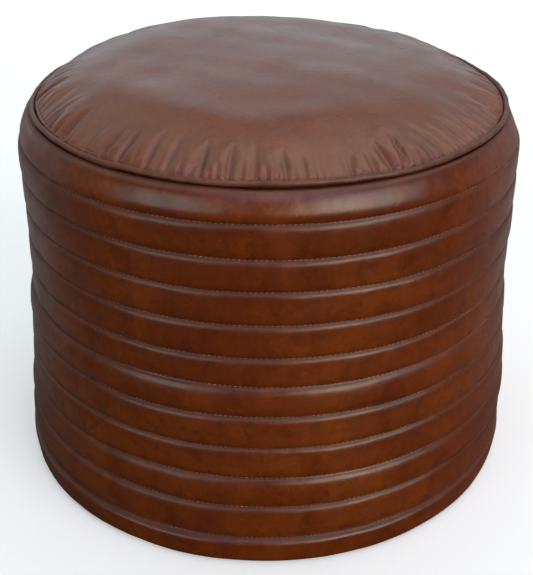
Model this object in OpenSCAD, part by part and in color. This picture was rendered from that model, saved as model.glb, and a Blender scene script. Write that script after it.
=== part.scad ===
// Round leather pouf: a domed, gathered top with a piped seam, a wall sewn into padded ribs,
// wadding and a bag of filling inside, and a zip in the underside.
// Millimetres, +Z up. The origin is the centre of the underside, on the floor.
// +Y is the back, where the wall is closed, and the zip runs along X.

/* [Overall size] */
// Radius of the seam between the top panel and the wall
seam_r = 230; // [225:1:245]
// Height of that seam above the floor
wall_h = 377; // [340:1:400]
// How far the crown rises above the seam
crown_rise = 42; // [35:1:55]
// How square the crown is: 2 is a plain dome, more is flatter with rounder shoulders
crown_power = 4.8; // [3:0.1:5.5]

/* [Wall] */
// Number of padded ribs up the wall
ribs = 12; // [10:1:12]
// Height of the first rib, under the piping
top_band_h = 28; // [24:1:32]
// Radius of the sewn rows in the upper wall
upper_waist_r = 243.5; // [242:0.5:246]
// Radius of the sewn rows low down, where the filling spreads
lower_waist_r = 251.5; // [249:0.5:254]
// Radius of the seam round the underside
foot_r = 246; // [244:0.5:248]
// How far each rib stands out of its two rows
rib_bulge = 4.5; // [3:0.5:6]
// How far the first rib stands out, under the piping
top_bulge = 5.5; // [5:0.5:7]
// How far the lowest rib stands out
foot_bulge = 8; // [6:0.5:9]

/* [Materials] */
// Thickness of the wall and top leather
leather_t = 1.6; // [1.2:0.1:2]
// Thickness of the leather under the base
base_t = 2; // [1.6:0.1:2.4]
// Outer diameter of the piping
piping_d = 5.5; // [5:0.1:6]
// Diameter of the cord inside the piping
cord_d = 3; // [2.5:0.1:3.1]
// Diameter of the sewing thread
thread_d = 0.7; // [0.5:0.1:0.9]

/* [Zip] */
// Length of the row of teeth
zip_length = 292; // [240:4:292]
// Spacing of the teeth in one row
tooth_pitch = 4; // [4:1:6]
// How far the underside is dished, so that the zip clears the floor
dish_h = 7; // [7:0.5:9]

/* [Hidden] */
// Clearance between two layers that lie on each other
gap = 0.2;
arc_steps = 8;
smooth_fn = 96;
// Length of leather turned in behind a seam
turn_in = 8;

// Wall: where the first rib starts and the last one ends
wall_top_z = wall_h - 1.8;
wall_top_r = seam_r + 0.4;
wall_foot_z = 0.5;
wall_foot_r = foot_r + 0.3 + leather_t;
rib_pitch = (wall_h - top_band_h) / (ribs - 1);
// How far each sewn row is above its even place, from row 1 down. They are sewn by hand.
row_lift = [0, 0, 0, 0, 0, 3.8, 3.7, 3.5, 3.7, 3.1, -2.2];
// The wall widens from its upper to its lower radius over this part of its height
widen_from = 0.35;
widen_over = 0.5;

// Behind the leather
backing_t = 0.8;
backing_set = leather_t + 0.3;
backing_bulge = 3;

// Crown wadding and filling
crown_pad_t = 14;
crown_pad_r = seam_r - 9;
// Room under the top panel for its folds and its uneven fill
crown_room = 7;
// Room behind the ribs for their dents and their uneven fill
rib_room = 2;
bag_t = 0.6;
bag_shoulder_z = wall_h - 21;
bag_upper_r = upper_waist_r - 8.9;
bag_lower_r = lower_waist_r - 9.9;
bag_upper_z = wall_h - 136;
bag_lower_z = 60;

// Underside
ring_inner_r = 200;
dish_r = 178;
zip_clearance = 1.3;

// Zip, measured from its middle plane
zip_z = dish_h + base_t + 0.6;
window_w = 13;
window_l = zip_length + 20;
tape_w = 15;
tape_t = 0.6;
tape_l = zip_length + 40;
tape_inner_y = 1.6;
tooth = [1.7, 5, 2.6];
tooth_overlap = 1.2;
first_tooth_x = -zip_length / 2 - 2;
teeth = floor(zip_length / tooth_pitch) + 1;
last_tooth_x = first_tooth_x + (teeth - 0.5) * tooth_pitch;
slider_l = 14;
slider_w = 11;
slider_x = last_tooth_x - 2.4;
plate_t = 1.3;
cavity_h = 3.2;
flange_w = 1;
tape_slit = 1;
divider_r = 1.2;
pin_r = 0.6;
pin_z = dish_h - 2.6;
lug_gap = 3.8;
lug_t = 1;
tab_t = 1.2;
tab_l = 24;
tab_w = 6;
tab_eye_w = 3.4;
// The pull hangs until its end is just off the floor
tab_droop = 8;

function two_digits(k) = str(k < 10 ? "0" : "", k);

leather_brown = [0.36, 0.17, 0.07];
piping_brown = [0.27, 0.11, 0.05];
thread_tan = [0.62, 0.43, 0.26];
cloth_cream = [0.86, 0.82, 0.72];
wadding_white = [0.93, 0.92, 0.88];
brass_gold = [0.72, 0.55, 0.25];

// ---- Shapes that several pieces share ----

function smooth(t) = let (u = min(max(t, 0), 1)) u * u * (3 - 2 * u);
function blend(a, b, t) = a + (b - a) * t;

// Height and radius of sewn row k. Row 0 is the top seam and the last one is the foot.
function row_z(k) = k == 0 ? wall_top_z : k == ribs ? wall_foot_z
    : wall_h - top_band_h - (k - 1) * rib_pitch + row_lift[k - 1];
function waist_r(z) = blend(upper_waist_r, lower_waist_r,
    smooth(((wall_h - z) / wall_h - widen_from) / widen_over));
function row_r(k) = k == 0 ? wall_top_r : k == ribs ? wall_foot_r : waist_r(row_z(k));

// A point on rib k, from its upper row (t = 0) to its lower row (t = 1), standing out by bulge
function on_rib(k, t, bulge) = [
    blend(row_r(k - 1), row_r(k), t) + bulge * 4 * t * (1 - t),
    blend(row_z(k - 1), row_z(k), t)
];
function bulge_of(k) = k == ribs ? foot_bulge : k == 1 ? top_bulge : rib_bulge;
function rib_face(k, from, to) = [
    for (i = [0 : arc_steps]) on_rib(k, blend(from, to, i / arc_steps), bulge_of(k))
];
function shift_r(points, by) = [for (p = points) [p[0] + by, p[1]]];
function backwards(points) = [for (i = [len(points) - 1 : -1 : 0]) points[i]];

// The whole outer line of the wall, top to foot
function wall_face() = [
    for (k = [1 : ribs], i = [k == 1 ? 0 : 1 : arc_steps]) on_rib(k, i / arc_steps, bulge_of(k))
];

// The outer line of the backing cloth, which curves inwards behind each full rib. It stops
// short of the turned-in leather at the top and at the foot.
backing_top = [wall_top_r + 1.3, wall_top_z - 4.2];
backing_foot = [wall_foot_r + 1.1, wall_foot_z + 3.5];
function backing_row(k) = k == 0 ? backing_top : k == ribs ? backing_foot
    : [row_r(k) - backing_set, row_z(k)];
function backing_bulge_of(k) = k == 1 || k == ribs ? 0 : backing_bulge;
function on_backing(k, t) = [
    blend(backing_row(k - 1)[0], backing_row(k)[0], t) - backing_bulge_of(k) * 4 * t * (1 - t),
    blend(backing_row(k - 1)[1], backing_row(k)[1], t)
];
function backing_face() = [
    for (k = [1 : ribs], i = [k == 1 ? 0 : 1 : arc_steps]) on_backing(k, i / arc_steps)
];

// Height of the crown's outer surface at radius r
function crown_z(r) = wall_h + crown_rise * (1 - pow(r / seam_r, crown_power));
function crown_line(from, to, drop) = [
    for (i = [0 : 2 * arc_steps]) let (r = blend(from, to, i / (2 * arc_steps)))
        [r, crown_z(r) - drop]
];

// A solid of revolution that is open by a hair's breadth at the back, where it is sewn closed
module open_ring(slit) {
    difference() {
        rotate_extrude($fn = smooth_fn) children();
        translate([-slit / 2, 0, -1]) cube([slit, 2 * lower_waist_r, wall_h + 2]);
    }
}

module thread_ring(r, z) {
    color(thread_tan) rotate_extrude($fn = smooth_fn)
        translate([r, z]) circle(d = thread_d, $fn = 24);
}

// ---- Top ----

top_edge_r = seam_r - piping_d / 2 - gap;

// The domed disc, turned down at its edge and on into the seam
module top_panel() {
    tuck_z = wall_h - turn_in - 2;
    color(leather_brown) rotate_extrude($fn = smooth_fn) polygon(concat(
        crown_line(0, top_edge_r, 0),
        [[top_edge_r, tuck_z], [top_edge_r - leather_t, tuck_z]],
        backwards(crown_line(0, top_edge_r - leather_t, leather_t))
    ));
}

module top_stitch() {
    stitch_r = seam_r - 5.6;
    thread_ring(stitch_r, crown_z(stitch_r) + 0.7);
}

piping_z = wall_h + 1.2;

module top_piping_cover() {
    tail_t = 1.2;
    color(piping_brown) rotate_extrude($fn = smooth_fn) difference() {
        union() {
            translate([seam_r, piping_z]) circle(d = piping_d, $fn = 48);
            translate([top_edge_r + gap, wall_h - turn_in - 2]) square([tail_t, turn_in + 2]);
        }
        translate([seam_r, piping_z]) circle(d = cord_d + gap, $fn = 48);
    }
}

module top_piping_cord() {
    color(cloth_cream) rotate_extrude($fn = smooth_fn)
        translate([seam_r, piping_z]) circle(d = cord_d, $fn = 48);
}

// ---- Wall ----

// One outline: the ribs outside, the edge turned up inside the foot, the ribs again inside the
// leather, and the edge turned down inside the top
module wall_leather() {
    outside = wall_face();
    inside = [for (i = [len(outside) - 2 : -1 : 1]) [outside[i][0] - leather_t, outside[i][1]]];
    foot_turn = [
        [wall_foot_r - leather_t, wall_foot_z],
        [wall_foot_r - leather_t, wall_foot_z + turn_in],
        [wall_foot_r, wall_foot_z + turn_in],
        [wall_foot_r, wall_foot_z + leather_t]
    ];
    top_turn = [
        [wall_top_r, wall_top_z - leather_t],
        [wall_top_r, wall_top_z - turn_in],
        [wall_top_r - leather_t, wall_top_z - turn_in],
        [wall_top_r - leather_t, wall_top_z]
    ];
    color(leather_brown) open_ring(0.3) polygon(concat(outside, foot_turn, inside, top_turn));
}

module wall_backing() {
    color(cloth_cream) open_ring(0.3)
        polygon(concat(backing_face(), backwards(shift_r(backing_face(), -backing_t))));
}

// Follows the filled bag, just outside it, behind the slit in the wall
module wall_back_tape() {
    half_angle = 2.5;
    inner = shift_r([
        [bag_upper_r, bag_shoulder_z - 5], [bag_upper_r, bag_upper_z],
        [bag_lower_r, bag_lower_z], [bag_lower_r, 14]
    ], gap);
    color(cloth_cream) intersection() {
        rotate_extrude($fn = smooth_fn) polygon(concat(inner, backwards(shift_r(inner, 1.2))));
        linear_extrude(wall_h) polygon([
            [0, 0],
            [-2 * foot_r * sin(half_angle), 2 * foot_r * cos(half_angle)],
            [2 * foot_r * sin(half_angle), 2 * foot_r * cos(half_angle)]
        ]);
    }
}

// Each pad stops short of the sewn rows, and of the leather turned in at the top and the foot
module rib_pad(k) {
    from = k == 1 ? 0.32 : 0.14;
    to = k == ribs ? 0.76 : k == 1 ? 0.84 : 0.86;
    outer = shift_r(rib_face(k, from, to), -leather_t - rib_room);
    inner = [for (i = [0 : arc_steps]) let (p = on_backing(k, blend(from, to, i / arc_steps)))
        [p[0] + gap, p[1]]];
    color(wadding_white) rotate_extrude($fn = smooth_fn)
        polygon(concat(outer, backwards(inner)));
}

module rib_stitch(k) {
    thread_ring(row_r(k) + 0.65, row_z(k));
}

// ---- Inside ----

module crown_wadding() {
    top_drop = leather_t + crown_room;
    color(wadding_white) rotate_extrude($fn = smooth_fn) polygon(concat(
        crown_line(0, crown_pad_r, top_drop),
        backwards(crown_line(0, crown_pad_r, top_drop + crown_pad_t))
    ));
}

// The outline of the filled bag, made smaller all round by inset, with the groove over the zip
module filled_bag(inset) {
    bag_drop = leather_t + crown_room + crown_pad_t + gap + inset;
    shoulder_r = crown_pad_r - inset;
    floor_z = base_t + zip_clearance + inset;
    groove_w = slider_w + 5 + 2 * inset;
    groove_l = tape_l + 2 * inset;
    difference() {
        rotate_extrude($fn = smooth_fn) polygon(concat(
            crown_line(0, shoulder_r, bag_drop),
            [
                [shoulder_r, bag_shoulder_z - inset],
                [bag_upper_r - inset, bag_shoulder_z - 5 - inset],
                [bag_upper_r - inset, bag_upper_z],
                [bag_lower_r - inset, bag_lower_z],
                [bag_lower_r - inset, floor_z],
                [ring_inner_r, floor_z],
                [dish_r, floor_z + dish_h],
                [0, floor_z + dish_h]
            ]
        ));
        translate([-groove_l / 2, -groove_w / 2, 0])
            cube([groove_l, groove_w, zip_z + 4.4 + inset]);
    }
}

module inner_bag() {
    color(cloth_cream) difference() {
        filled_bag(0);
        filled_bag(bag_t);
    }
}

module filling() {
    color(wadding_white) filled_bag(bag_t + gap);
}

// ---- Underside ----

module base_panel() {
    color(leather_brown) difference() {
        rotate_extrude($fn = smooth_fn) union() {
            polygon([
                [0, dish_h], [dish_r, dish_h], [ring_inner_r, 0], [foot_r, 0],
                [foot_r, base_t], [ring_inner_r, base_t], [dish_r, dish_h + base_t],
                [0, dish_h + base_t]
            ]);
            translate([foot_r - base_t, 0]) square([base_t, turn_in + 1]);
        }
        translate([-window_l / 2, -window_w / 2, -1]) cube([window_l, window_w, 2 * dish_h]);
    }
}

// side is -1 for the front half of the zip and 1 for the back half
module zip_tape(side) {
    low_y = side > 0 ? tape_inner_y : -tape_inner_y - tape_w;
    color([0.23, 0.14, 0.09]) translate([-tape_l / 2, low_y, zip_z - tape_t / 2])
        cube([tape_l, tape_w, tape_t]);
}

// The two rows are half a pitch apart, so that each tooth lies between two of the other row
module zip_teeth(side) {
    low_y = side > 0 ? -tooth_overlap : tooth_overlap - tooth[1];
    start_x = first_tooth_x + (side > 0 ? tooth_pitch / 2 : 0);
    color(brass_gold) for (i = [0 : teeth - 1])
        translate([start_x + i * tooth_pitch - tooth[0] / 2, low_y, zip_z - tooth[2] / 2])
            cube(tooth);
}

// One stop on each tape, past the slider's nose
module zip_top_stops() {
    stop = [2.2, 3.4, 2.4];
    color(brass_gold) for (low_y = [tape_inner_y, -tape_inner_y - stop[1]])
        translate([slider_x + slider_l / 2 + 0.6, low_y, zip_z - stop[2] / 2]) cube(stop);
}

// One stop across both tapes, at the open end
module zip_bottom_stop() {
    stop = [2.4, 7.4, 2.8];
    color(brass_gold) translate([first_tooth_x - 4, -stop[1] / 2, zip_z - stop[2] / 2]) cube(stop);
}

module zip_stitches() {
    stitch_y = window_w / 2 + 3;
    color(thread_tan) for (side = [-1, 1])
        translate([-window_l / 2, side * stitch_y, dish_h - thread_d / 2 - gap])
            rotate([0, 90, 0]) cylinder(h = window_l, d = thread_d, $fn = 24);
}

// Two plates joined by a divider at the nose. Their edges turn in and leave a slit for each tape,
// and two lugs under the lower plate hold the pin.
module zip_slider() {
    low_z = zip_z - cavity_h / 2;
    high_z = zip_z + cavity_h / 2;
    flange_h = (cavity_h - tape_slit) / 2;
    color(brass_gold) difference() {
        translate([slider_x, 0, 0]) {
            for (z = [low_z - plate_t, high_z])
                translate([-slider_l / 2, -slider_w / 2, z]) cube([slider_l, slider_w, plate_t]);
            for (y = [-slider_w / 2, slider_w / 2 - flange_w], z = [low_z, high_z - flange_h])
                translate([-slider_l / 2, y, z]) cube([slider_l, flange_w, flange_h]);
            translate([slider_l / 2 - divider_r - 0.4, 0, low_z])
                cylinder(h = cavity_h, r = divider_r, $fn = 32);
            for (y = [-lug_gap / 2 - lug_t, lug_gap / 2])
                translate([-2, y, pin_z - 1]) cube([4, lug_t, low_z - plate_t - pin_z + 1]);
        }
        translate([slider_x, -slider_w / 2, pin_z]) rotate([-90, 0, 0])
            cylinder(h = slider_w, r = pin_r, $fn = 32);
    }
}

module zip_pull_pin() {
    pin_l = lug_gap + 2 * lug_t;
    color(brass_gold) translate([slider_x, -pin_l / 2, pin_z]) rotate([-90, 0, 0])
        cylinder(h = pin_l, r = pin_r, $fn = 32);
}

module zip_pull_tab() {
    eye_r = 1.4;
    neck_l = 6;
    hole_r = 1.3;
    color(brass_gold) translate([slider_x, 0, pin_z]) rotate([0, tab_droop, 0]) difference() {
        union() {
            translate([0, -tab_eye_w / 2, 0]) rotate([-90, 0, 0])
                cylinder(h = tab_eye_w, r = eye_r, $fn = 32);
            translate([0, -tab_eye_w / 2, -tab_t / 2]) cube([neck_l, tab_eye_w, tab_t]);
            translate([neck_l - 1, -tab_w / 2, -tab_t / 2])
                cube([tab_l - neck_l + 1 - tab_w / 2, tab_w, tab_t]);
            translate([tab_l - tab_w / 2, 0, -tab_t / 2])
                cylinder(h = tab_t, r = tab_w / 2, $fn = 32);
        }
        translate([0, -tab_eye_w, 0]) rotate([-90, 0, 0])
            cylinder(h = 2 * tab_eye_w, r = pin_r + 0.06, $fn = 32);
        translate([tab_l - tab_w / 2, 0, -tab_t])
            cylinder(h = 2 * tab_t, r = hole_r, $fn = 32);
    }
}

top_panel();
top_stitch();
top_piping_cover();
top_piping_cord();
wall_leather();
wall_backing();
wall_back_tape();
for (k = [1 : ribs])
    rib_pad(k);
for (k = [1 : ribs - 1])
    rib_stitch(k);
crown_wadding();
inner_bag();
filling();
base_panel();
zip_tape(-1);  // zip_tape_front
zip_tape(1);  // zip_tape_back
zip_teeth(-1);  // zip_teeth_front
zip_teeth(1);  // zip_teeth_back
zip_top_stops();
zip_bottom_stop();
zip_stitches();
zip_slider();
zip_pull_pin();
zip_pull_tab();
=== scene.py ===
import math

import bpy
import numpy as np
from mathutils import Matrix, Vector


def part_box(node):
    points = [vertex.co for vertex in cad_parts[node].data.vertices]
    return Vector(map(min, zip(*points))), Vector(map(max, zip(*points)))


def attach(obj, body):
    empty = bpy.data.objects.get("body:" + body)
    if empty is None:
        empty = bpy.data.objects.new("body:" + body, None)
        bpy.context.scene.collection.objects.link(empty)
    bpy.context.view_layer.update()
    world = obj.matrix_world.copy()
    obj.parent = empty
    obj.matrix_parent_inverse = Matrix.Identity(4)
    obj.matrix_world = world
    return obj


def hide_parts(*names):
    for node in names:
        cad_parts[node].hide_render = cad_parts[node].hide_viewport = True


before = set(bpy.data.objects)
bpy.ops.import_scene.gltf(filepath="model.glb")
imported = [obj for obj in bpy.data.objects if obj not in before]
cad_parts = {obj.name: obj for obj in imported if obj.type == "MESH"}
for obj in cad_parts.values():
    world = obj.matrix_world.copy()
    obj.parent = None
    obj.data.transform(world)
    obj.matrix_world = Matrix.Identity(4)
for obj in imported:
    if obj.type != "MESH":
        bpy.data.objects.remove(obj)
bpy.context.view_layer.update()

MM = 0.001
TURN = 2 * math.pi
ROWS_OF_STITCHES = 11
RIBS = ROWS_OF_STITCHES + 1

# ---- Sizes, read from the frame ----

_, piping_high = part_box("top_piping_cover")
cord_low, cord_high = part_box("top_piping_cord")
_, top_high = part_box("top_panel")
wall_low, wall_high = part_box("wall_leather")
_, base_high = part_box("base_panel")
stitch_low, stitch_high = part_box("top_stitch")

CORD_R = (cord_high[2] - cord_low[2]) / 2
PIPING_Z = (cord_high[2] + cord_low[2]) / 2
SEAM_R = cord_high[0] - CORD_R
PIPING_R = piping_high[0] - SEAM_R
SEAM_BELOW_CORD = 1.2 * MM
SEAM_Z = PIPING_Z - SEAM_BELOW_CORD
TOP_EDGE_R = top_high[0]
FOOT_R = base_high[0]
BASE_T = 2 * MM
TURN_IN = 8 * MM
LEATHER_T = 1.6 * MM
THREAD_LIFT = 1.0 * MM
WALL_BEYOND_SEAM = 2.2 * MM
WALL_BEYOND_FOOT = 1.9 * MM


def stitch_row(k):
    """Radius and height of sewn row k of the wall, from the thread's box in the frame."""
    low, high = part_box(f"rib_stitch_{k:02d}")
    return high[0] - THREAD_LIFT, (low[2] + high[2]) / 2


# The wall's upper edge, its rows of stitches and its lower edge, counted from 0 at the top
ROW_R = [SEAM_R + WALL_BEYOND_SEAM] + [stitch_row(k)[0] for k in range(1, RIBS)] + [FOOT_R + WALL_BEYOND_FOOT]
ROW_Z = [wall_high[2]] + [stitch_row(k)[1] for k in range(1, RIBS)] + [wall_low[2]]
# How far each rib stands out from the straight line between its rows
RIB_BULGE = [4.4 * MM] + [4.5 * MM] * (RIBS - 2) + [8.0 * MM]

# ---- Helpers: smooth random values, and meshes from arrays ----


def smooth(t):
    t = np.clip(t, 0, 1)
    return t * t * (3 - 2 * t)


def ring_noise(seed, knots, angle):
    """Smooth random values from -1 to 1 round the pouf, with that many knots."""
    values = np.random.default_rng(seed).uniform(-1, 1, knots)
    place = np.asarray(angle) / TURN * knots
    low = np.floor(place).astype(int)
    part = smooth(place - low)
    return values[low % knots] * (1 - part) + values[(low + 1) % knots] * part


def wave_field(seed, count, wavelength, x, y):
    """Smooth random values with a spread of about 1, over a plane, at about that wavelength."""
    rng = np.random.default_rng(seed)
    total = np.zeros(np.broadcast(x, y).shape)
    for _ in range(count):
        heading = rng.uniform(0, TURN)
        reach = TURN / (wavelength * rng.uniform(0.6, 1.7))
        phase = rng.uniform(0, TURN)
        total += np.cos(reach * (x * math.cos(heading) + y * math.sin(heading)) + phase)
    return total * math.sqrt(2 / count)


def on_ring(radius, angle, height):
    """Points round the pouf. Angle 0 is the front, and a quarter turn is the right-hand side."""
    radius, angle, height = np.broadcast_arrays(radius, angle, height)
    return np.stack([radius * np.sin(angle), -radius * np.cos(angle), height], axis=-1)


def angles(count):
    return np.arange(count) * TURN / count


def grid_faces(rows, columns, close_rows=False):
    """Quads over a grid of points that closes round its columns, and also along its rows if asked."""
    last = rows if close_rows else rows - 1
    r, c = np.meshgrid(np.arange(last), np.arange(columns), indexing="ij")
    r2, c2 = (r + 1) % rows, (c + 1) % columns
    quads = np.stack([r * columns + c, r * columns + c2, r2 * columns + c2, r2 * columns + c], axis=-1)
    return quads.reshape(-1, 4)


def make_mesh(name, points, quads, triangles=None, values=None):
    """A smooth mesh object. values holds named numbers for each point, which materials read."""
    mesh = bpy.data.meshes.new(name)
    points = np.ascontiguousarray(points, dtype=np.float32).reshape(-1, 3)
    loops = [quads.reshape(-1)]
    sizes = [np.full(len(quads), 4)]
    if triangles is not None and len(triangles):
        loops.append(triangles.reshape(-1))
        sizes.append(np.full(len(triangles), 3))
    loops, sizes = np.concatenate(loops), np.concatenate(sizes)
    mesh.vertices.add(len(points))
    mesh.vertices.foreach_set("co", points.reshape(-1))
    mesh.loops.add(len(loops))
    mesh.loops.foreach_set("vertex_index", loops.astype(np.int32))
    mesh.polygons.add(len(sizes))
    starts = np.concatenate([[0], np.cumsum(sizes)[:-1]])
    mesh.polygons.foreach_set("loop_start", starts.astype(np.int32))
    mesh.polygons.foreach_set("loop_total", sizes.astype(np.int32))
    mesh.update(calc_edges=True)
    mesh.validate()
    mesh.shade_smooth()
    for key, numbers in (values or {}).items():
        layer = mesh.attributes.new(key, "FLOAT", "POINT")
        layer.data.foreach_set("value", np.asarray(numbers, dtype=np.float32).reshape(-1))
    piece = bpy.data.objects.new(name, mesh)
    bpy.context.scene.collection.objects.link(piece)
    return piece


# ---- Materials ----


class Nodes:
    """Builds the node tree of one material, or of the world, with short calls."""

    def __init__(self, name, world=False):
        self.owner = (bpy.data.worlds if world else bpy.data.materials).new(name)
        self.owner.use_nodes = True
        self.tree = self.owner.node_tree
        self.shader = self.tree.nodes["Background" if world else "Principled BSDF"]
        self.place = self.add("ShaderNodeTexCoord").outputs["Generated" if world else "Object"]

    def add(self, kind, **settings):
        node = self.tree.nodes.new(kind)
        for key, value in settings.items():
            setattr(node, key, value)
        return node

    def plug(self, socket, value):
        if isinstance(value, bpy.types.NodeSocket):
            self.tree.links.new(value, socket)
        else:
            socket.default_value = value

    def scaled(self, scale):
        """The place on the object, multiplied by scale along each axis."""
        node = self.add("ShaderNodeMapping")
        self.plug(node.inputs["Vector"], self.place)
        node.inputs["Scale"].default_value = scale
        return node.outputs["Vector"]

    def noise(self, scale, detail=3.0, rough=0.55, where=None, warp=0.0):
        node = self.add("ShaderNodeTexNoise")
        self.plug(node.inputs["Vector"], where or self.place)
        node.inputs["Scale"].default_value = scale
        node.inputs["Detail"].default_value = detail
        node.inputs["Roughness"].default_value = rough
        node.inputs["Distortion"].default_value = warp
        return node.outputs["Fac"]

    def cells(self, scale):
        node = self.add("ShaderNodeTexVoronoi", feature="SMOOTH_F1")
        self.plug(node.inputs["Vector"], self.place)
        node.inputs["Scale"].default_value = scale
        return node.outputs["Distance"]

    def value(self, name):
        """A number stored on the mesh's points."""
        return self.add("ShaderNodeAttribute", attribute_name=name).outputs["Fac"]

    def math(self, operation, a, b):
        node = self.add("ShaderNodeMath", operation=operation)
        self.plug(node.inputs[0], a)
        self.plug(node.inputs[1], b)
        return node.outputs[0]

    def spread(self, value, low, high, to_low=0.0, to_high=1.0):
        """value from low..high to to_low..to_high, clamped."""
        node = self.add("ShaderNodeMapRange")
        self.plug(node.inputs["Value"], value)
        for key, number in zip(("From Min", "From Max", "To Min", "To Max"), (low, high, to_low, to_high)):
            node.inputs[key].default_value = number
        return node.outputs["Result"]

    def mix(self, amount, a, b):
        """Colour a where amount is 0, and b where it is 1."""
        node = self.add("ShaderNodeMix", data_type="RGBA")
        self.plug(node.inputs[0], amount)
        self.plug(node.inputs[6], a)
        self.plug(node.inputs[7], b)
        return node.outputs[2]

    def bump(self, height, distance, strength=1.0, under=None):
        node = self.add("ShaderNodeBump")
        node.inputs["Strength"].default_value = strength
        node.inputs["Distance"].default_value = distance
        self.plug(node.inputs["Height"], height)
        if under is not None:
            self.plug(node.inputs["Normal"], under)
        return node.outputs["Normal"]


def colour(red, green, blue):
    """A linear colour from an 8-bit display colour."""
    def linear(level):
        part = level / 255
        return part / 12.92 if part <= 0.04045 else ((part + 0.055) / 1.055) ** 2.4
    return (linear(red), linear(green), linear(blue), 1.0)


# How much rougher the leather is where its mesh says dull
DULLING = 0.42


def leather(name, deep, middle, light, streak_scale, rough=(0.24, 0.42), coat=0.3, mottle=1.0, painted_shading=0.85,
            marbled=0.35):
    """Glossy waxed leather: mottled and marbled dye, with painted shade that darkens it towards the deep
    colour where the mesh marks creases and grooves, and rougher where dull.
    """
    n = Nodes(name)
    clouds = n.noise(9, 4, 0.6, warp=0.6)
    streaks = n.noise(1, 4, 0.6, where=n.scaled(streak_scale), warp=0.4)
    specks = n.noise(190, 3, 0.7)
    marbling = n.noise(48, 5, 0.7, warp=1.0)
    fine = n.noise(650, 2, 0.6)
    dye = n.mix(n.spread(clouds, 0.35, 0.66), middle, light)
    dye = n.mix(n.spread(streaks, 0.46, 0.72, 0.0, 0.75 * mottle), dye, deep)
    dye = n.mix(n.spread(marbling, 0.5, 0.66, 0.0, marbled), dye, deep)
    dye = n.mix(n.spread(specks, 0.35, 0.7, 0.0, 0.4), dye, deep)
    dye = n.mix(n.spread(fine, 0.35, 0.7, 0.0, 0.3), dye, deep)
    # Painted shade: the dye is darkened towards the deep colour by the mesh's painted shade value, in
    # creases, grooves and other places where shade falls.
    dye = n.mix(n.spread(n.value("fold"), 0.0, 1.0, 0.0, painted_shading), dye, deep)
    n.plug(n.shader.inputs["Base Color"], dye)
    patches = n.noise(34, 4, 0.6)
    gloss = n.spread(patches, 0.3, 0.7, rough[0], rough[1])
    n.plug(n.shader.inputs["Roughness"], n.math("ADD", gloss, n.math("MULTIPLY", n.value("dull"), DULLING)))
    n.shader.inputs["Coat Weight"].default_value = coat
    n.shader.inputs["Coat Roughness"].default_value = 0.16
    n.shader.inputs["Specular IOR Level"].default_value = 0.5
    creases = n.noise(55, 5, 0.65, warp=1.2)
    pores = n.cells(900)
    grain = n.bump(pores, 0.00012, 0.35)
    n.plug(n.shader.inputs["Normal"], n.bump(creases, 0.0009, 0.35, under=grain))
    return n.owner


def thread(name, pale, dark):
    """Twisted thread: a fine slanting ply, paler and darker along its length."""
    n = Nodes(name)
    patches = n.noise(70, 2)
    n.plug(n.shader.inputs["Base Color"], n.mix(n.spread(patches, 0.35, 0.65), pale, dark))
    n.shader.inputs["Roughness"].default_value = 0.7
    ply = n.noise(2500, 1)
    n.plug(n.shader.inputs["Normal"], n.bump(ply, 0.0001, 0.4))
    return n.owner


# About how many waves the wave texture has to the metre at a scale of 1
WAVES_AT_SCALE_ONE = 3.14


def woven(name, pale, dark, per_metre):
    """Plain-woven cloth: two crossed sets of yarns, that many to the metre."""
    n = Nodes(name)
    yarns = []
    for axis in ("X", "Y"):
        wave = n.add("ShaderNodeTexWave", wave_type="BANDS", bands_direction=axis)
        n.plug(wave.inputs["Vector"], n.place)
        wave.inputs["Scale"].default_value = per_metre / WAVES_AT_SCALE_ONE
        wave.inputs["Distortion"].default_value = 0.6
        yarns.append(wave.outputs["Fac"])
    weave = n.math("MULTIPLY", yarns[0], yarns[1])
    n.plug(n.shader.inputs["Base Color"], n.mix(weave, dark, pale))
    n.shader.inputs["Roughness"].default_value = 0.9
    n.plug(n.shader.inputs["Normal"], n.bump(weave, 0.0003, 0.6))
    return n.owner


def fluffy(name, pale, dark):
    """Soft wadding: matted fibre, matte and uneven."""
    n = Nodes(name)
    tufts = n.noise(90, 6, 0.7, warp=1.5)
    n.plug(n.shader.inputs["Base Color"], n.mix(tufts, dark, pale))
    n.shader.inputs["Roughness"].default_value = 1.0
    n.plug(n.shader.inputs["Normal"], n.bump(tufts, 0.003, 0.8))
    return n.owner


def brass(name):
    """Rubbed brass: paler where it is handled, dull in the corners."""
    n = Nodes(name)
    rub = n.noise(220, 4, 0.6)
    n.plug(n.shader.inputs["Base Color"],
           n.mix(n.spread(rub, 0.3, 0.7), colour(126, 92, 44), colour(206, 168, 96)))
    n.shader.inputs["Metallic"].default_value = 1.0
    n.plug(n.shader.inputs["Roughness"], n.spread(rub, 0.3, 0.7, 0.5, 0.28))
    return n.owner


TOP_LEATHER = leather("top_leather", colour(84, 40, 24), colour(126, 64, 38), colour(137, 73, 42),
                      (22, 22, 22), rough=(0.25, 0.36), mottle=0.35, painted_shading=0.45)
WALL_LEATHER = leather("wall_leather", colour(60, 20, 5), colour(110, 44, 9), colour(134, 62, 14),
                       (30, 30, 7), rough=(0.24, 0.38), coat=0.15, mottle=0.5, marbled=0.45)
PIPING_LEATHER = leather("piping_leather", colour(64, 24, 14), colour(116, 60, 34), colour(138, 78, 48),
                         (40, 40, 40), rough=(0.4, 0.5), coat=0.1, painted_shading=0.6)
BASE_LEATHER = leather("base_leather", colour(40, 20, 12), colour(78, 44, 26), colour(92, 54, 32),
                       (20, 20, 20), rough=(0.6, 0.8), coat=0.0)
WALL_THREAD = thread("wall_thread", colour(170, 122, 78), colour(112, 70, 40))
TOP_THREAD = thread("top_thread", colour(150, 96, 66), colour(86, 46, 28))
LINING = woven("lining_cloth", colour(222, 212, 188), colour(168, 154, 126), 900)
TAPE = woven("zip_tape", colour(70, 42, 28), colour(30, 18, 12), 1400)
WADDING = fluffy("wadding", colour(240, 238, 230), colour(196, 190, 176))
BRASS = brass("zip_brass")

# ---- Top panel ----

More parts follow.
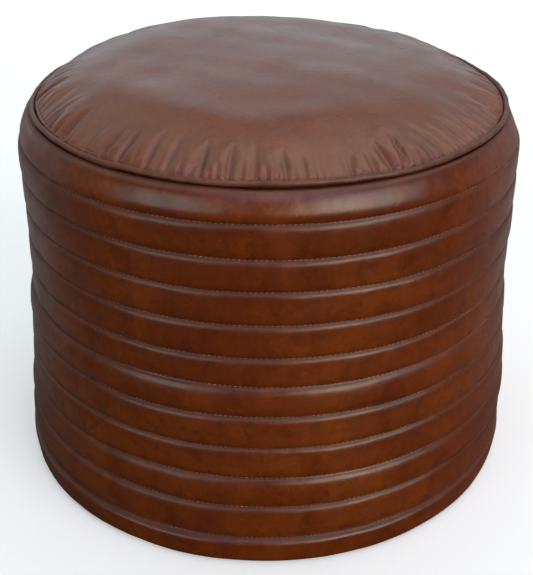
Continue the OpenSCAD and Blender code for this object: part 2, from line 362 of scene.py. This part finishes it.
# Columns round the simulated sheet, and round the finished top
SEWN_COLUMNS = 480
TOP_COLUMNS = 720
TOP_CENTRE_R = 0.012
# Inside this radius the top is too far from the seam to gather, and isn't simulated
TOP_SEWN_FROM = 0.105
# The crown drops from its middle to the seam as this power of the radius, less by ROUNDER in front
CROWN_RISE = top_high[2] - SEAM_Z - 4.5 * MM
CROWN_POWER = 5.0
CROWN_ROUNDER = 1.9
# How much fuller the crown is on the left, and how much lower on the right
FULLER = 11 * MM
LOWER = 3.5 * MM
# The share of spare leather that is eased into the seam
SPARE_LEATHER = 0.056
# The one long fold, as an angle from the front towards the right
BIG_FOLD = math.radians(31)
CLOTH_FRAMES = 24
# Waves round the ring slower than this are the crown's own shape, and faster ones are gathers
SLOW_WAVES = 24
CREASE_BOOST = 0.6
MOST_DOWN, MOST_UP = -3.2 * MM, 5 * MM


def crown_z(radius, angle=math.pi):
    """Height of the crown before it is sewn: rounder at the front, flatter at the back."""
    power = CROWN_POWER - CROWN_ROUNDER * (1 + np.cos(angle)) / 2
    return SEAM_Z + CROWN_RISE * (1 - (radius / SEAM_R) ** power)


def lopsided(radius, angle):
    """The filling has gone over to the left, so the crown is fuller there and lower at the right."""
    part = radius / SEAM_R
    to_left = ((1 - np.sin(angle)) / 2) ** 1.5
    to_right = ((1 + np.sin(angle)) / 2) ** 1.5
    return (FULLER * to_left * (1 - part ** 8) - LOWER * to_right * (1 - part ** 6)) * part ** 1.5


def away_from(angle, centre):
    """Angle from centre, from minus to plus half a turn."""
    return np.angle(np.exp(1j * (angle - centre)))


def spare_leather(angle, inward):
    """How much of the spare leather is at each place, from 0 to 1. It is eased into the seam."""
    lumps = 0.5 + 0.25 * ring_noise(81, 31, angle) + 0.25 * ring_noise(82, 13, angle)
    big = np.exp(-(away_from(angle, BIG_FOLD) / 0.09) ** 2)
    reach = (44 + 20 * ring_noise(83, 17, angle) + 26 * big) * MM
    return np.clip((lumps + 0.45 * big) * smooth(1 - inward / reach), 0, 1)


def first_ripple(angle, inward):
    """A slight ripple that starts the gathers off."""
    ripple = sum(0.9 * MM * ring_noise(seed, knots, angle) for seed, knots in ((50, 41), (51, 67), (52, 93)))
    crease = away_from(angle, BIG_FOLD + 1.1 * np.clip(inward - 0.02, 0, 1)) * SEAM_R
    ripple = ripple - 2.2 * MM * np.exp(-(crease / (5 * MM)) ** 2) * np.exp(-((inward - 0.03) / 0.022) ** 2)
    return ripple * smooth(1 - inward / 0.07) * smooth(inward / 0.004)


def sew_and_fill(surface, inward, angle):
    """Cloth simulation of the top panel: its edge is held in the seam, where it has more leather
    than the seam is long, and the filling presses from inside. Returns the moved points."""
    rows, columns = surface.shape[:2]
    start = surface.copy()
    start[..., 2] += first_ripple(angle, inward)
    count = rows * columns
    low, high = (0, 0, SEAM_Z - 0.04), (0, 0, crown_z(0))
    points = np.concatenate([start.reshape(-1, 3), [low, high]])
    here = np.arange(columns)
    following = (here + 1) % columns
    rim = (rows - 1) * columns
    fans = np.concatenate([
        np.stack([rim + here, np.full(columns, count), rim + following], axis=-1),
        np.stack([here, following, np.full(columns, count + 1)], axis=-1),
    ])
    piece = make_mesh("top_cloth", points, grid_faces(rows, columns)[:, ::-1], fans)
    held = piece.vertex_groups.new(name="held")
    held_rows = np.concatenate([here, columns + here, rim + here, [count, count + 1]])
    held.add(held_rows.tolist(), 1.0, "REPLACE")
    taut = piece.vertex_groups.new(name="taut")
    taut.add([count, count + 1], 1.0, "REPLACE")
    for index, share in enumerate((1 - spare_leather(angle, inward)).reshape(-1).tolist()):
        taut.add([index], share, "REPLACE")
    cloth = piece.modifiers.new("cloth", "CLOTH")
    cloth.point_cache.frame_end = CLOTH_FRAMES
    cloth.collision_settings.use_collision = False
    how = cloth.settings
    how.quality = 6
    how.mass = 0.001
    how.tension_stiffness = 40
    how.compression_stiffness = 40
    how.shear_stiffness = 15
    how.bending_stiffness = 8
    how.tension_damping = how.compression_damping = how.shear_damping = 10
    how.air_damping = 2
    how.vertex_group_mass = held.name
    how.shrink_min = -SPARE_LEATHER
    how.shrink_max = 0.0
    how.vertex_group_shrink = taut.name
    how.use_pressure = True
    how.uniform_pressure_force = 60
    how.effector_weights.gravity = 0
    scene = bpy.context.scene
    scene.frame_end = CLOTH_FRAMES
    for step in range(1, CLOTH_FRAMES + 1):
        scene.frame_set(step)
    done = piece.evaluated_get(bpy.context.evaluated_depsgraph_get()).data
    moved = np.empty(3 * len(done.vertices), dtype=np.float32)
    done.vertices.foreach_get("co", moved)
    moved = moved.reshape(-1, 3)[:count].reshape(surface.shape).astype(float)
    mesh = piece.data
    bpy.data.objects.remove(piece)
    bpy.data.meshes.remove(mesh)
    scene.frame_set(1)
    return moved


def low_pass(values, waves):
    """Values round the ring with only their slowest waves left."""
    spectrum = np.fft.rfft(values, axis=1)
    spectrum[:, waves:] = 0
    return np.fft.irfft(spectrum, n=values.shape[1], axis=1)


def finer(values):
    """The same smooth surface on more columns and twice the rows."""
    rows, columns = values.shape[:2]
    spectrum = np.fft.rfft(values, axis=1)
    more = np.fft.irfft(spectrum, n=TOP_COLUMNS, axis=1) * (TOP_COLUMNS / columns)
    padded = np.concatenate([2 * more[:1] - more[1:2], more, 2 * more[-1:] - more[-2:-1]])
    between = (9 * (padded[1:-2] + padded[2:-1]) - padded[:-3] - padded[3:]) / 16
    result = np.empty((2 * rows - 1,) + more.shape[1:])
    result[::2], result[1::2] = more, between
    return result


def top_surface():
    """Rows of points from the centre to the seam, and how deep each one lies in the gathers, which the
    leather shows as painted shade.
    """
    share = np.linspace(0, 1, 38)[:, None]
    middle = np.linspace(TOP_CENTRE_R, TOP_SEWN_FROM, 9)[:-1, None]
    sewn = TOP_EDGE_R - (TOP_EDGE_R - TOP_SEWN_FROM) * (1 - share) * (0.6 + 0.4 * (1 - share))
    radius = np.concatenate([middle, sewn])
    angle = angles(SEWN_COLUMNS)[None, :] + 0 * radius
    inward = TOP_EDGE_R - radius
    surface = on_ring(radius, angle, crown_z(radius, angle))
    ring = slice(len(middle), None)
    moved = sew_and_fill(surface[ring], inward[ring], angle[ring])
    move = moved - surface[ring]
    move[..., 2] += CREASE_BOOST * (move[..., 2] - low_pass(move[..., 2], SLOW_WAVES))
    move[..., 2] = np.clip(move[..., 2], MOST_DOWN, MOST_UP)
    free = smooth((radius[ring] - TOP_SEWN_FROM) / (55 * MM))
    surface[ring] += move * free[..., None]
    # Painted shade: the leather is darkened where it sinks into the gathers, the deeper the darker.
    fold = np.zeros(surface.shape[:2])
    lift = move[..., 2]
    fold[ring] = np.clip((low_pass(lift, SLOW_WAVES) - lift) / (1.6 * MM), 0, 1)
    x, y = surface[..., 0], surface[..., 1]
    settle = smooth(inward / (60 * MM))
    surface[..., 2] += 1.0 * MM * wave_field(21, 10, 0.17, x, y) * settle + lopsided(radius, angle)
    surface[..., 2] += 0.25 * MM * wave_field(22, 14, 0.07, x, y) * settle
    return finer(surface), np.clip(finer(fold), 0, 1)


TOP_SURFACE, TOP_PAINTED_SHADE = top_surface()


def top_panel():
    angle = angles(TOP_COLUMNS)[None, :]
    rim_z = TOP_SURFACE[-1:, :, 2]
    tuck = np.concatenate([on_ring(TOP_EDGE_R, angle, rim_z - drop) for drop in (1.5 * MM, 4 * MM, 7 * MM)])
    back_radius = np.array([TOP_EDGE_R - LEATHER_T, TOP_EDGE_R - 12 * MM, 0.16, 0.08, TOP_CENTRE_R])[:, None]
    back_height = crown_z(back_radius, angle) + lopsided(back_radius, angle) - LEATHER_T - 4 * MM
    back_height[0] = rim_z.min() - 7 * MM
    back = on_ring(back_radius, angle, back_height)
    points = np.concatenate([TOP_SURFACE, tuck, back])
    rows = len(points)
    quads = grid_faces(rows, TOP_COLUMNS)[:, ::-1]
    count = rows * TOP_COLUMNS
    caps = np.array([[0, 0, TOP_SURFACE[0, :, 2].mean()], [0, 0, back[-1, :, 2].mean()]])
    here = np.arange(TOP_COLUMNS)
    following = (here + 1) % TOP_COLUMNS
    top_fan = np.stack([here, following, np.full(TOP_COLUMNS, count)], axis=-1)
    last = (rows - 1) * TOP_COLUMNS
    under_fan = np.stack([last + following, last + here, np.full(TOP_COLUMNS, count + 1)], axis=-1)
    # Painted shade in the gathers of the top. The tucked edge and the underside get none.
    fold = np.zeros((rows, TOP_COLUMNS))
    fold[: len(TOP_PAINTED_SHADE)] = TOP_PAINTED_SHADE
    values = {"fold": np.concatenate([fold.reshape(-1), [0, 0]])}
    all_points = np.concatenate([points.reshape(-1, 3), caps])
    piece = make_mesh("top_panel_leather", all_points, quads, np.concatenate([top_fan, under_fan]), values)
    piece.data.materials.append(TOP_LEATHER)
    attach(piece, "pouf")
    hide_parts("top_panel")


def top_height(radius, angle):
    """Height of the finished top at a radius near its edge."""
    radii = np.hypot(TOP_SURFACE[..., 0], TOP_SURFACE[..., 1]).mean(axis=1)
    row = int(np.searchsorted(radii, radius)) - 1
    share = (radius - radii[row]) / (radii[row + 1] - radii[row])
    ring = TOP_SURFACE[row, :, 2] * (1 - share) + TOP_SURFACE[row + 1, :, 2] * share
    knots = np.append(angles(TOP_COLUMNS), TURN)
    return np.interp(np.asarray(angle) % TURN, knots, np.append(ring, ring[0]))


# ---- Piping ----


def piping():
    """The leather round the piping cord, a little uneven and puckered by its seam."""
    columns, sides = 900, 14
    angle = angles(columns)[None, :]
    turn = angles(sides)[:, None]
    lift = (0.7 * ring_noise(41, 26, angle) + 0.35 * ring_noise(42, 90, angle)) * MM
    push = (0.5 * ring_noise(43, 30, angle) + 0.25 * ring_noise(44, 110, angle)) * MM
    tube = PIPING_R * (1 + 0.05 * ring_noise(45, 240, angle) + 0.05 * ring_noise(46, 37, angle))
    points = on_ring(SEAM_R + push + tube * np.cos(turn), angle, PIPING_Z + lift + tube * np.sin(turn))
    quads = grid_faces(sides, columns, close_rows=True)
    # Darker at random round the ring, plus painted shade on the underside of the tube and on its inner side
    # against the seam.
    fold = 0.25 + 0.25 * ring_noise(47, 300, angle) + 0 * turn
    fold = np.clip(fold + 0.6 * (np.sin(turn) < -0.45) + 0.5 * (np.cos(turn) < -0.6), 0, 1)
    piece = make_mesh("top_piping_leather", points, quads, values={"fold": fold})
    piece.data.materials.append(PIPING_LEATHER)
    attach(piece, "pouf")
    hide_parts("top_piping_cover")


# ---- Wall ----

WALL_COLUMNS = 600
RIB_STEPS = 12
# Ribs that are fuller or flatter than the rest, counted from the top
RIB_FULLNESS = {2: 0.85, 3: 0.75, 4: 0.75, 5: 0.72, 6: 0.68, 7: 1.2, 8: 0.75, 9: 0.8, 10: 1.05, 12: 0.9}
# Where a rib's upper edge is pulled smooth and gleams: the middle of that stretch and its half
# width, in degrees from the front towards the right
GLEAMING = {1: (14, 24), 2: (42, 24), 7: (-2, 48), 8: (46, 16), 9: (44, 18), 10: (22, 34), 11: (48, 20)}
# Ribs whose upper edge is rounder than the rest, which shows as a broader gleam
RIB_TIGHTNESS = {1: 2.6, 2: 3.8, 7: 2.6, 10: 2.8, 11: 4.0}
# Ribs that lie flatter on the right-hand side, by this share
FLATTER_AT_RIGHT = {1: 0.85, 2: 0.3, 5: 0.35, 6: 0.5, 7: 0.5, 8: 0.35}
# The first rib is fuller in the middle of the front, by this share
FIRST_RIB_FULLER = 0.5
BACK_SEAM_HALF_WIDTH = 3.2 * MM
BACK_SEAM_DEPTH = 1.1 * MM


def row_radius(k, angle):
    """Radius of sewn row k round the wall, with the lean of the filling low on the left."""
    low_down = smooth((0.16 - ROW_Z[k]) / 0.16)
    lean = MM * low_down * (1.2 - 3.0 * np.sin(angle))
    wander = 0.5 * MM * ring_noise(100 + k, 9, angle) * (1 if 0 < k < RIBS else 0.3)
    return ROW_R[k] + lean + wander


def row_height(k, angle):
    if k == 0 or k == RIBS:
        return ROW_Z[k] + 0 * angle
    return ROW_Z[k] + (0.8 * ring_noise(130 + k, 8, angle) + 0.35 * ring_noise(150 + k, 26, angle)) * MM


def rib_surface(k, angle, part):
    """Radius and height of rib k, from its upper row (part 0) to its lower row (part 1), and how
    far it is padded out there, from 0 to 1."""
    radius = row_radius(k - 1, angle) * (1 - part) + row_radius(k, angle) * part
    height = row_height(k - 1, angle) * (1 - part) + row_height(k, angle) * part
    full = RIB_FULLNESS.get(k, 1.0)
    full = full + 0.16 * ring_noise(200 + k, 7, angle) + 0.08 * ring_noise(220 + k, 24, angle)
    to_right = (1 + np.sin(angle)) / 2
    full = full * (1 - FLATTER_AT_RIGHT.get(k, 0) * to_right ** 3)
    if k == 1:
        full = full + FIRST_RIB_FULLER * ((1 + np.cos(angle)) / 2) ** 4
    down = part ** (0.75 if k == 1 else 0.92)
    tight = RIB_TIGHTNESS.get(k, 5.6) * (1 + 0.2 * ring_noise(260 + k, 9, angle))
    pillow = np.maximum(1 - np.abs(2 * down - 1) ** tight, 0) ** 0.66
    radius = radius + RIB_BULGE[k - 1] * full * pillow
    pitch = ROW_Z[k - 1] - ROW_Z[k]
    for seed, away in ((240 + k - 1, part * pitch), (240 + k, (1 - part) * pitch)):
        knots, depth, reach = (290, 0.5 * MM, 8 * MM) if seed == 240 else (190, 0.42 * MM, 5 * MM)
        pinch = ring_noise(seed, knots, angle) * (0.3 + 0.7 * np.abs(ring_noise(seed + 20, 17, angle)))
        radius = radius + depth * pinch * np.exp(-away / reach) * smooth(away / (1.5 * MM))
    radius = radius + 0.35 * MM * pillow * ring_noise(300 + k, 60, angle)
    return radius, height, pillow


def wall():
    """The ribbed wall, closed by a seam at the back: its outside, its turned edges and its inside."""
    angle = angles(WALL_COLUMNS)[None, :]
    even = np.linspace(0, 1, RIB_STEPS + 1)[:, None]
    steps = 0.3 * even + 0.7 * smooth(even)
    seam = np.exp(-((np.abs(angle - math.pi) * SEAM_R) / BACK_SEAM_HALF_WIDTH) ** 2)
    radii, heights, painted_shading, dulls = [], [], [], []
    for k in range(1, RIBS + 1):
        part = steps if k == RIBS else steps[:-1]
        radius, height, pillow = rib_surface(k, angle, part)
        radii.append(radius - BACK_SEAM_DEPTH * seam * (0.2 + 0.8 * pillow))
        heights.append(height)
        # Painted shade: darker in the grooves along the rows of stitches, and over the upper part of each
        # rib, brightening downwards.
        shaded = 0.5 * (1 - smooth(part / 0.42)) * (0.8 + 0.2 * ring_noise(340 + k, 23, angle))
        painted_shading.append(np.maximum(1 - smooth(pillow / 0.42), shaded))
        middle, half = (math.radians(v) for v in GLEAMING.get(k, (180, 60)))
        gleam = smooth(1.6 - np.abs(away_from(angle, middle)) / half)
        gleam = gleam * (0.8 + 0.2 * ring_noise(320 + k, 31, angle))
        if k == 1:
            gleam = gleam * (0.7 + 0.3 * ring_noise(331, 130, angle))
        dulls.append((1 - smooth((pillow - 0.3) / 0.65)) * (1 - gleam) * (part < 0.5))
    radius, height, fold, dull = (np.concatenate(group) for group in (radii, heights, painted_shading, dulls))
    # Painted shade along the groove of the back seam.
    fold = np.maximum(fold, seam)
    outside = on_ring(radius, angle, height)
    foot_r, top_r = ROW_R[-1] - LEATHER_T, ROW_R[0] - LEATHER_T
    inside_rows = [(foot_r, ROW_Z[-1]), (foot_r, ROW_Z[-1] + TURN_IN)]
    inside_rows += [(ROW_R[k] - LEATHER_T - 0.3 * MM, ROW_Z[k]) for k in range(RIBS - 1, 0, -1)]
    inside_rows += [(top_r, ROW_Z[0] - TURN_IN), (top_r, ROW_Z[0])]
    inside = np.concatenate([on_ring(r, angle, z) for r, z in inside_rows])
    points = np.concatenate([outside, inside])
    # The inside of the wall gets full painted shade.
    fold = np.concatenate([fold, np.ones((len(inside_rows), WALL_COLUMNS))])
    dull = np.concatenate([dull, np.ones((len(inside_rows), WALL_COLUMNS))])
    quads = grid_faces(len(points), WALL_COLUMNS, close_rows=True)[:, ::-1]
    piece = make_mesh("wall_ribbed_leather", points, quads, values={"fold": fold, "dull": dull})
    piece.data.materials.append(WALL_LEATHER)
    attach(piece, "pouf")
    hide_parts("wall_leather")


def first_padding():
    """The padding of the first rib, which follows the leather in front of it."""
    columns = 240
    angle = angles(columns)[None, :]
    front_part = np.linspace(0.3, 0.82, 7)[:, None]
    radius, height, _ = rib_surface(1, angle, front_part)
    back_part = front_part[::-1]
    back_radius = ROW_R[0] * (1 - back_part) + ROW_R[1] * back_part - 3.6 * MM
    front = on_ring(np.maximum(radius - 3.2 * MM, back_radius[::-1] + 0.5 * MM), angle, height)
    points = np.concatenate([front, on_ring(back_radius, angle, height[::-1])])
    piece = make_mesh("rib_01_padding", points, grid_faces(len(points), columns, close_rows=True)[:, ::-1])
    piece.data.materials.append(WADDING)
    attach(piece, "pouf")
    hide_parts("rib_pad_01")


# ---- Stitches ----


def stitches(name, path, length, share, thick, slant, material):
    """A row of separate stitches. path(s) gives points and outward directions at distances s, and
    each stitch covers share of its length, dips into the leather at both ends and leans by slant."""
    total = path.total
    count = int(round(total / length))
    rings, sides = 5, 6
    along = np.linspace(-0.5, 0.5, rings)
    start = (np.arange(count) + 0.5) * total / count
    spots = start[:, None] + along[None, :] * share * total / count
    centre, out = path(spots)
    ahead, _ = path(spots + 0.2 * MM)
    forward = ahead - centre
    forward /= np.linalg.norm(forward, axis=-1, keepdims=True)
    side = np.cross(out, forward)
    lean = slant * along[None, :, None] * length
    arch = (1 - (2 * along) ** 2)[None, :, None]
    centre = centre + side * lean + out * thick * (0.75 * arch - 0.45)
    girth = thick / 2 * (1 - 0.65 * np.abs(2 * along) ** 3)[None, :, None, None]
    turn = angles(sides)[None, None, :, None]
    points = centre[:, :, None, :] + girth * (
        np.cos(turn) * side[:, :, None, :] + np.sin(turn) * out[:, :, None, :])
    each = rings * sides
    one = grid_faces(rings, sides)
    ends = np.array([[0, 1, 2, 3], [0, 3, 4, 5]])
    ends = np.concatenate([ends[:, ::-1], ends + (rings - 1) * sides])
    one = np.concatenate([one, ends])
    quads = (one[None] + (np.arange(count) * each)[:, None, None]).reshape(-1, 4)
    piece = make_mesh(name, points, quads)
    piece.data.materials.append(material)
    return piece


class RingPath:
    """A path round the pouf at a radius and height that functions of the angle give."""

    def __init__(self, radius, height, tilt=0.0):
        self.radius, self.height, self.tilt = radius, height, tilt
        self.mean = float(np.mean(radius(angles(64))))
        self.total = TURN * self.mean

    def __call__(self, distance):
        angle = distance / self.mean
        centre = on_ring(self.radius(angle), angle, self.height(angle))
        out = on_ring(math.cos(self.tilt) + 0 * angle, angle, math.sin(self.tilt) + 0 * angle)
        return centre, out


class LinePath:
    """A straight path from one point to another, seen from the side that out points to."""

    def __init__(self, start, end, out):
        self.start, self.end, self.out = (np.array(v, dtype=float) for v in (start, end, out))
        self.total = float(np.linalg.norm(self.end - self.start))

    def __call__(self, distance):
        share = (np.asarray(distance) / self.total)[..., None]
        centre = self.start * (1 - share) + self.end * share
        return centre, np.broadcast_to(self.out, centre.shape)


def wall_stitches():
    for k in range(1, RIBS):
        path = RingPath(lambda a, k=k: row_radius(k, a) + 0.35 * MM, lambda a, k=k: row_height(k, a))
        piece = stitches(f"rib_row_{k:02d}_stitches", path, 4.6 * MM, 0.86, 0.75 * MM, 0.16, WALL_THREAD)
        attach(piece, "pouf")
        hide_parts(f"rib_stitch_{k:02d}")


def top_stitches():
    radius = (stitch_high[0] - stitch_low[0]) / 2 - 0.35 * MM
    path = RingPath(lambda a: radius + 0 * a, lambda a: top_height(radius, a) + 0.15 * MM,
                    tilt=math.radians(50))
    piece = stitches("top_edge_stitches", path, 3.4 * MM, 0.8, 0.55 * MM, 0.1, TOP_THREAD)
    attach(piece, "pouf")
    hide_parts("top_stitch")


# ---- Underside ----

WINDOW_L = 312 * MM
WINDOW_W = 13 * MM
DISH_H = base_high[2] - BASE_T
RING_INNER_R = 0.200
DISH_R = 0.178
DISH_SAGS_WITHIN = 0.19


def base_height(radius):
    """Height of the underside: on the floor in the outer ring, and dished inside it."""
    return DISH_H * (1 - smooth((radius - DISH_R) / (RING_INNER_R - DISH_R)))


def window_outline(angle):
    """The edge of the zip's window, at the same angles as the rim so that the panel's quads fit."""
    reach_x, reach_y = WINDOW_L / 2, WINDOW_W / 2
    power = 14
    x, y = np.sin(angle), -np.cos(angle)
    size = (np.abs(x / reach_x) ** power + np.abs(y / reach_y) ** power) ** (-1 / power)
    return x * size, y * size


def base_panel():
    """The leather underside, with its window for the zip and its turned-up rim."""
    columns = 720
    angle = angles(columns)[None, :]
    window_x, window_y = window_outline(angle)
    rim_x, rim_y = FOOT_R * np.sin(angle), -FOOT_R * np.cos(angle)
    share = np.concatenate([np.linspace(0, 0.1, 5), np.linspace(0.12, 1, 34)])[:, None]
    x, y = window_x + (rim_x - window_x) * share, window_y + (rim_y - window_y) * share
    radius = np.hypot(x, y)
    sag = 0.25 * MM * (1 + wave_field(61, 12, 0.09, x, y) / 2) * smooth(share / 0.1)
    sag = np.clip(sag, 0, 1) * (radius < DISH_SAGS_WITHIN)
    under = np.stack([x, y, np.maximum(base_height(radius) - sag, 0)], axis=-1)
    rim = [(FOOT_R, 4 * MM), (FOOT_R, 9 * MM), (FOOT_R - BASE_T, 9 * MM)]
    edge = np.concatenate([on_ring(r, angle, z) for r, z in rim])
    upper = under[::-1][1:].copy()
    upper[..., 2] += BASE_T
    points = np.concatenate([under, edge, upper])
    quads = grid_faces(len(points), columns, close_rows=True)
    piece = make_mesh("base_panel_leather", points, quads, values={"fold": np.zeros(points.shape[:2])})
    piece.data.materials.append(BASE_LEATHER)
    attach(piece, "pouf")
    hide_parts("base_panel")


def zip_stitches():
    for side in (-1, 1):
        y = side * (WINDOW_W / 2 + 3 * MM)
        z = DISH_H - 0.5 * MM
        path = LinePath((-WINDOW_L / 2, y, z), (WINDOW_L / 2, y, z), (0, 0, -1))
        piece = stitches(f"zip_stitches_{side + 1}", path, 4 * MM, 0.84, 0.7 * MM, 0.1, TOP_THREAD)
        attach(piece, "pouf")
        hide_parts("zip_stitches")


# ---- Pieces that stay as the frame has them ----


def dress_nodes():
    """Gives each CAD node that stays its material, and the metal ones a rounded edge."""
    looks = {"top_piping_cord": LINING, "wall_backing": LINING, "wall_back_tape": LINING,
             "inner_bag": LINING, "crown_wadding": WADDING, "filling": WADDING,
             "zip_tape_front": TAPE, "zip_tape_back": TAPE}
    looks.update({f"rib_pad_{k:02d}": WADDING for k in range(2, RIBS + 1)})
    metal = ["zip_teeth_front", "zip_teeth_back", "zip_top_stops", "zip_bottom_stop",
             "zip_slider", "zip_pull_pin", "zip_pull_tab"]
    looks.update({name: BRASS for name in metal})
    for name, material in looks.items():
        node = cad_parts[name]
        for place in node.material_slots:
            place.material = material
    for name in metal:
        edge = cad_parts[name].modifiers.new("rounded_edges", "BEVEL")
        edge.width = 0.25 * MM
        edge.segments = 2
        edge.limit_method = "ANGLE"


# ---- Camera, light and floor ----

# Where the light comes from: degrees from the front towards the right, degrees above the floor,
# half widths in degrees of the even middle and of the faded edge, and red, green and blue strength.
# The strengths started from a least-squares fit to the picture's average colours, not from a
# studio plan. They were then rounded, and some were changed one by one.
BRIGHT_PLACES = {
    "front right": (45, 20, 13, 31, (2.3, 2.7, 2.8)),
    "low front right": (30, 5, 8, 30, (3.6, 2.6, 1.5)),
    "front left": (315, 15, 10, 28, (1.6, 2.1, 2.1)),
    "high right": (120, 65, 10, 35, (1.25, 1.3, 1.15)),
    "high left": (240, 65, 10, 35, (0.6, 0.75, 0.65)),
    "low back left": (215, 3, 5, 60, (0.5, 0.57, 0.62)),
    "low back right": (145, 3, 5, 60, (0.4, 0.5, 0.54)),
    "high front": (12, 60, 8, 30, (1.1, 1.1, 1.75)),
}


# The camera: focal length in mm, place, and degrees below level
LENS = 68.9
CAMERA_AT = (-0.0027, -1.046, 0.728)
LOOKS_DOWN = 28.54


def camera():
    lens = bpy.data.cameras.new("camera")
    lens.lens = LENS
    lens.sensor_width = 36
    seen = bpy.data.objects.new("camera", lens)
    seen.location = CAMERA_AT
    seen.rotation_euler = (math.radians(90 - LOOKS_DOWN), 0, 0)
    bpy.context.scene.collection.objects.link(seen)
    bpy.context.scene.camera = seen


def studio():
    """A dim room with a few soft bright places round the pouf. The camera itself sees plain white."""
    n = Nodes("studio", world=True)
    light = (0, 0, 0)
    for turn, height, even, faded, tint in BRIGHT_PLACES.values():
        turn, height = math.radians(turn), math.radians(height)
        aim = n.add("ShaderNodeVectorMath", operation="DOT_PRODUCT")
        n.plug(aim.inputs[0], n.place)
        aim.inputs[1].default_value = (math.sin(turn) * math.cos(height), -math.cos(turn) * math.cos(height),
                                       math.sin(height))
        share = n.spread(aim.outputs["Value"], math.cos(math.radians(faded)), math.cos(math.radians(even)))
        part = n.add("ShaderNodeVectorMath", operation="SCALE")
        part.inputs[0].default_value = tint
        n.plug(part.inputs["Scale"], share)
        total = n.add("ShaderNodeVectorMath", operation="ADD")
        n.plug(total.inputs[0], part.outputs[0])
        n.plug(total.inputs[1], light)
        light = total.outputs[0]
    n.plug(n.shader.inputs["Color"], light)
    seen = n.add("ShaderNodeBackground")
    n.plug(seen.inputs["Color"], (1, 1, 1, 1))
    which = n.add("ShaderNodeMixShader")
    n.plug(which.inputs[0], n.add("ShaderNodeLightPath").outputs["Is Camera Ray"])
    n.plug(which.inputs[1], n.shader.outputs[0])
    n.plug(which.inputs[2], seen.outputs[0])
    n.plug(n.tree.nodes["World Output"].inputs["Surface"], which.outputs[0])
    bpy.context.scene.world = n.owner


def floor():
    """Pale where the camera sees it, where it also glows a little. What the leather reflects of it, and the
    light it bounces, is painted darker, darkest in front."""
    size = 12
    mesh = bpy.data.meshes.new("floor")
    mesh.from_pydata([(-size, -size, 0), (size, -size, 0), (size, size, 0), (-size, size, 0)], [],
                     [(0, 1, 2, 3)])
    ground = bpy.data.objects.new("floor", mesh)
    bpy.context.scene.collection.objects.link(ground)
    n = Nodes("floor")
    axes = n.add("ShaderNodeSeparateXYZ")
    n.plug(axes.inputs[0], n.place)
    # Painted reflection: the floor's colour for reflected and bounced rays, dark in front and greyer behind.
    reflected_shade = n.mix(n.spread(axes.outputs[1], -0.25, 0.35), (0.05, 0.04, 0.03, 1), (0.34, 0.31, 0.30, 1))
    which = n.add("ShaderNodeLightPath").outputs["Is Camera Ray"]
    n.plug(n.shader.inputs["Base Color"], n.mix(which, reflected_shade, (0.93, 0.9, 0.88, 1)))
    n.shader.inputs["Emission Color"].default_value = (1, 1, 1, 1)
    n.plug(n.shader.inputs["Emission Strength"], n.math("MULTIPLY", which, 0.3))
    n.shader.inputs["Roughness"].default_value = 0.9
    n.shader.inputs["Specular IOR Level"].default_value = 0.0
    mesh.materials.append(n.owner)


camera()
studio()
floor()
bpy.context.scene.view_settings.view_transform = "Standard"
top_panel()
piping()
wall()
first_padding()
wall_stitches()
top_stitches()
base_panel()
zip_stitches()
dress_nodes()
